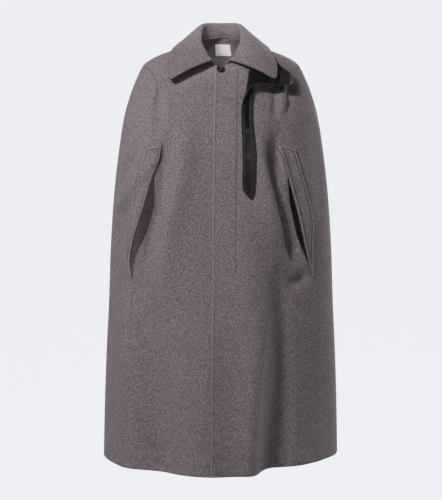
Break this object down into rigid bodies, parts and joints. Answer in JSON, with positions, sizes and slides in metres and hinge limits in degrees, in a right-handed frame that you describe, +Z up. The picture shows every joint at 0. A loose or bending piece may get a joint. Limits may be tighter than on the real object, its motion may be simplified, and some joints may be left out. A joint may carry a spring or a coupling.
{
  "type": "wool cape coat",
  "caption": "Long double-faced wool cape with a folded collar, a concealed front closure, stitched arm slits and a looped leather shoulder strap, filled out as worn.",
  "frame": {"origin": "on the line of the shoulders at the base of the neck, between the two side points of the neck edge", "axes": "+Z up as worn, -Y to the front where the cape closes, +X to the right as seen from the front"},
  "size_m": [0.6048, 0.4569, 1.1397],
  "materials": {
    "wool": "brushed melange coating",
    "strap_leather": "smooth, half matte",
    "horn": "polished, mottled",
    "label_cloth": "woven satin"
  },
  "bodies": {
    "root": {"back": "wool", "front_right": "wool", "front_left": "wool", "placket_strip": "wool", "welt_right": "wool", "welt_left": "wool", "collar": "wool", "strap": "strap_leather", "button": "horn", "neck_label": "label_cloth"}
  },
  "joints": []
}
